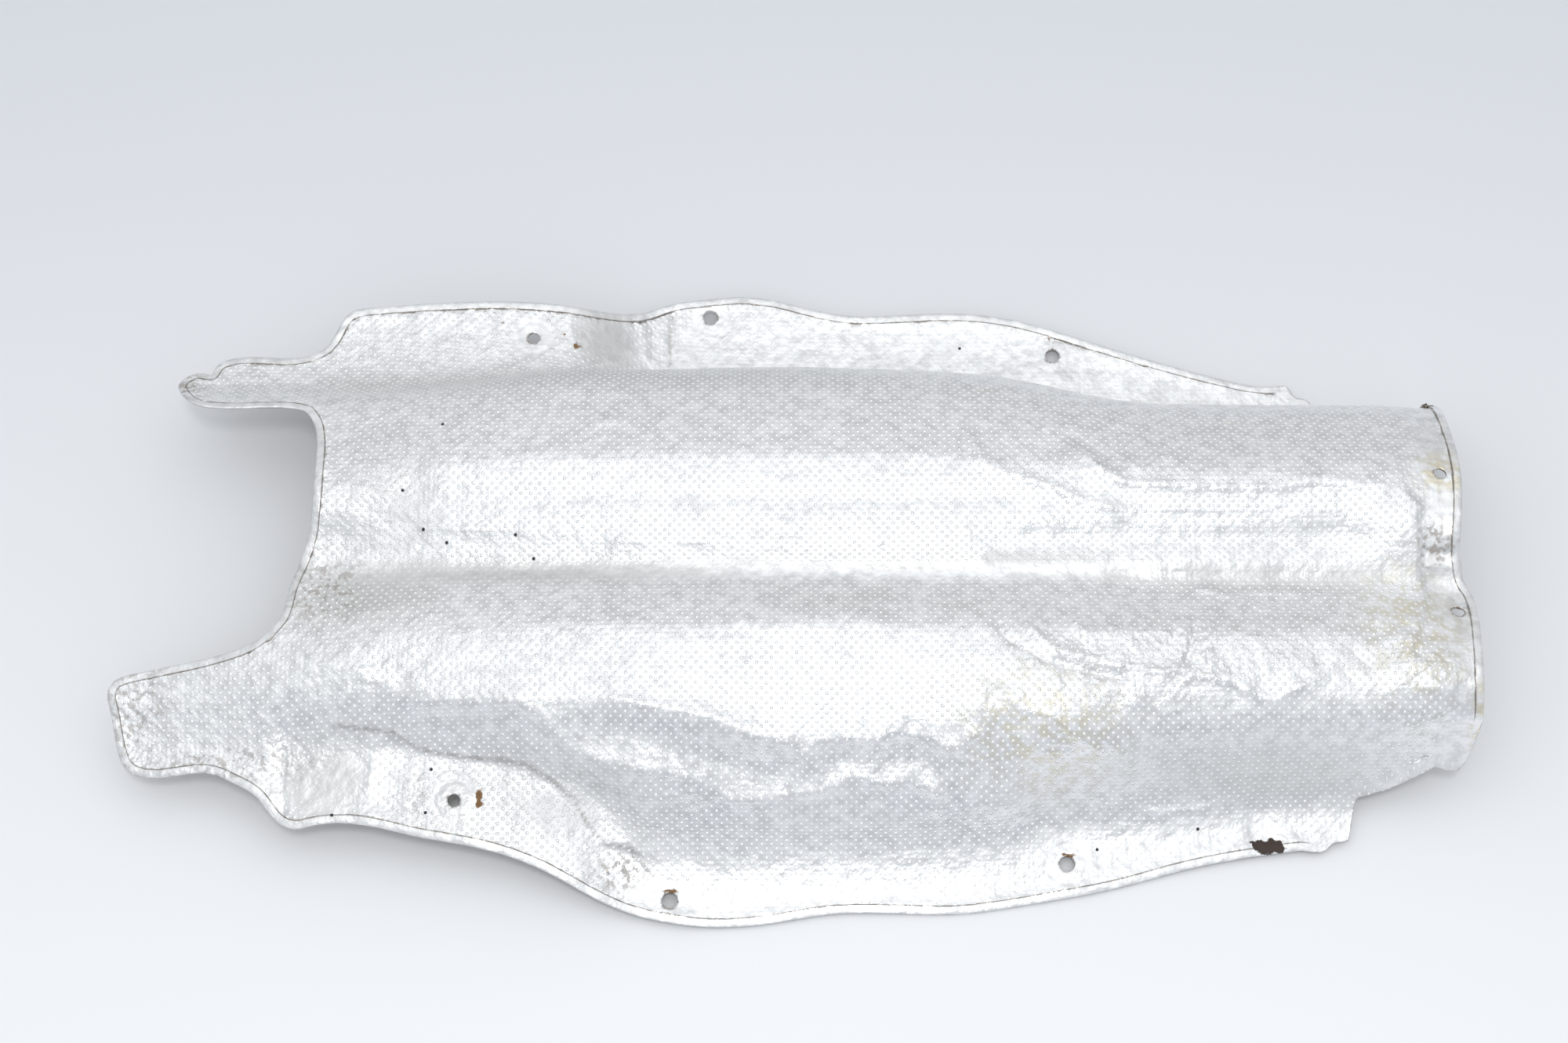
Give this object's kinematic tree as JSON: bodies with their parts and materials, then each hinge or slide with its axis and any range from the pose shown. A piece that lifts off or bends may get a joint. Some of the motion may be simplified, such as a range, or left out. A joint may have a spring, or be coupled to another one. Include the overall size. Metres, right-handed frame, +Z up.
{
  "type": "exhaust heat shield",
  "caption": "Car exhaust heat shield: one embossed aluminium sheet pressed into two long arches between bolting flanges, with hemmed edges, end tabs, dents and torn corners.",
  "frame": {"origin": "middle of the shield's underside: centre of its box in plan, at the height of the lowest edge", "axes": "+X along the arches towards the stepped end strip, +Y towards the far flange, +Z up as it lies, arches up"},
  "size_m": [0.741, 0.3882, 0.0806],
  "materials": {
    "embossed_aluminium": "embossed, worn, satin"
  },
  "bodies": {
    "root": {"heat_shield": "embossed_aluminium"}
  },
  "joints": []
}
